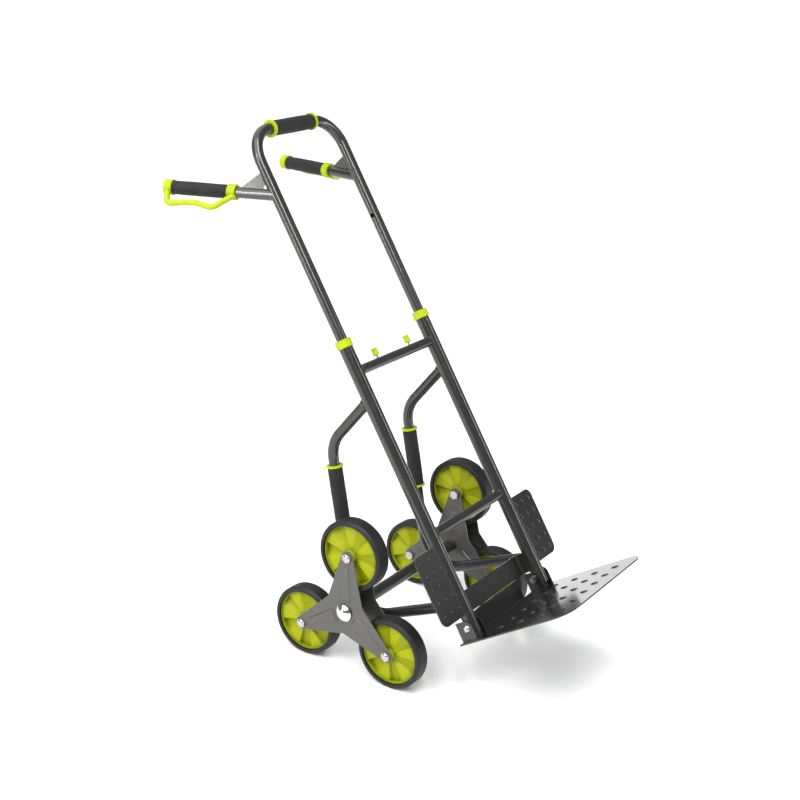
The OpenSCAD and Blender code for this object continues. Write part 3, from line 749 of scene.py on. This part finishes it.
# %% Beads on the guards and lips on the collars
guard_bead_r = 0.0161
guard_wire_r = 0.0011
collar_bead_gaps = (0.0025, 0.0095, 0.0165)
cap_bead_gap = 0.003
lip_r = 0.0174
lip_wire_r = 0.0009
lip_ups = (0.5760, 0.5908)
for side, sign in sides:
    axis = handle_axis(sign)
    start, end, _ = stretch_of(f"{side}_side_grip", axis)
    spots = [start - axis * gap for gap in collar_bead_gaps]
    spots.append(end + axis * cap_bead_gap)
    rings = []
    for spot in spots:
        ring_place = Matrix.Translation(spot) @ turn_towards(axis)
        rings.append(bead("ring", ring_place, guard_bead_r, guard_wire_r))
    give(join(rings, f"{side}_guard_beads"), "handle", "lime_plastic")
    lips = []
    for up in lip_ups:
        lip_place = lean_place @ Matrix.Translation((sign * half_track, 0, up))
        lips.append(bead("ring", lip_place, lip_r, lip_wire_r))
    give(join(lips, f"{side}_collar_lips"), "frame", "lime_plastic")

# %% [markdown]
# A weld leaves a small uneven bead where two tubes meet.  There is one at each end of a crossbar
# and one where each end of a loop meets its upright.

# %% Weld beads
weld_lumps = bpy.data.textures.new("weld_lumps", "CLOUDS")
weld_lumps.noise_scale = 0.003
across_turn = Matrix.Rotation(math.pi / 2, 4, "Y")
weld_wire_r = 0.0013
crossbar_weld_r = 0.0112
crossbar_weld_x = 0.1318
loop_weld_r = 0.0122
head_weld_back, head_weld_up = 0.0148, 0.449
foot_weld_back, foot_weld_up = 0.0150, -0.0187
welds = []
for side, sign in sides:
    for up in (crossbar_high_up, crossbar_low_up):
        spot = Matrix.Translation((sign * crossbar_weld_x, 0, up))
        welds.append(bead("weld", lean_place @ spot @ across_turn, crossbar_weld_r, weld_wire_r))
    spot = Matrix.Translation((sign * half_track, head_weld_back, head_weld_up))
    head_turn = turn_towards(loop_elbow - loop_head)
    welds.append(bead("weld", lean_place @ spot @ head_turn, loop_weld_r, weld_wire_r))
    spot = Matrix.Translation((sign * half_track, foot_weld_back, foot_weld_up))
    foot_turn = turn_towards(loop_heel - loop_foot)
    welds.append(bead("weld", lean_place @ spot @ foot_turn, loop_weld_r, weld_wire_r))
weld_beads = join(welds, "weld_beads")
lumps = weld_beads.modifiers.new("lumps", "DISPLACE")
lumps.texture = weld_lumps
lumps.strength = 0.0008
bpy.ops.object.modifier_apply(modifier=lumps.name)
give(weld_beads, "frame", "frame_paint")

# %% [markdown]
# ## The studio
# A plain pale floor meets a white backdrop.  A wide soft sun from the left lights everything
# evenly.  Long narrow strips of light above and on both sides draw the bright lines along the
# tubes, and the surroundings are kept dimmer than the backdrop, so that dark paint stays dark.

# %% Floor
clear()
bpy.ops.mesh.primitive_plane_add(size=40, location=(0, 0, 0))
floor = bpy.context.object
floor.name = "studio_floor"
floor_finish = bpy.data.materials.new("pale_floor")
floor_finish.use_nodes = True
floor_shader = floor_finish.node_tree.nodes["Principled BSDF"]
floor_shader.inputs["Base Color"].default_value = (0.92, 0.92, 0.92, 1)
floor_shader.inputs["Roughness"].default_value = 0.9
floor_shader.inputs["Specular IOR Level"].default_value = 0.1
floor.data.materials.append(floor_finish)

# %% [markdown]
# The backdrop is white only to the camera's own view.  All else is lit by a dimmer sky.

# %% World
world = bpy.data.worlds.new("studio_world")
bpy.context.scene.world = world
world.use_nodes = True
sky_nodes, sky_links = world.node_tree.nodes, world.node_tree.links
sky = sky_nodes["Background"]
sky.inputs["Color"].default_value = (0.62, 0.63, 0.65, 1)
sky.inputs["Strength"].default_value = 0.42
backdrop = sky_nodes.new("ShaderNodeBackground")
backdrop.inputs["Color"].default_value = (1, 1, 1, 1)
backdrop.inputs["Strength"].default_value = 1.0
light_path = sky_nodes.new("ShaderNodeLightPath")
sky_mix = sky_nodes.new("ShaderNodeMixShader")
sky_links.new(light_path.outputs["Is Camera Ray"], sky_mix.inputs["Fac"])
sky_links.new(sky.outputs["Background"], sky_mix.inputs[1])
sky_links.new(backdrop.outputs["Background"], sky_mix.inputs[2])
sky_links.new(sky_mix.outputs["Shader"], sky_nodes["World Output"].inputs["Surface"])
print("world:", world.name)


# %% Suns and strips of light
def sun_light(name, spot, direction, strength):
    bpy.ops.object.light_add(type="SUN", location=spot)
    light = bpy.context.object
    light.name = name
    light.data.energy = strength
    light.data.angle = math.radians(65)
    light.rotation_euler = Vector(direction).to_track_quat("-Z", "Y").to_euler()


sun_light("soft_sun", (-3, 1, 4), direction=(0.62, -0.10, -0.78), strength=2.6)
sun_light("back_sun", (2, 4, 4), direction=(-0.2, -0.55, -0.81), strength=1.1)
strip_aim = Vector((0, 0, 0.5))


def area_light(name, spot, width, height, watts):
    bpy.ops.object.light_add(type="AREA", location=spot)
    light = bpy.context.object
    light.name = name
    light.data.shape = "RECTANGLE"
    light.data.size = width
    light.data.size_y = height
    light.data.energy = watts
    light.rotation_euler = (strip_aim - Vector(spot)).to_track_quat("-Z", "Y").to_euler()


area_light("top_strip", (-1.0, -0.8, 3.0), width=0.4, height=3.0, watts=75)
area_light("right_strip", (1.6, -2.8, 1.4), width=0.25, height=2.8, watts=44)
area_light("left_strip", (-3.0, 1.2, 1.6), width=0.25, height=2.6, watts=55)
bpy.context.scene.view_settings.view_transform = "Standard"

# %% [markdown]
# ## Closing
# The last step leaves nothing selected.

clear()
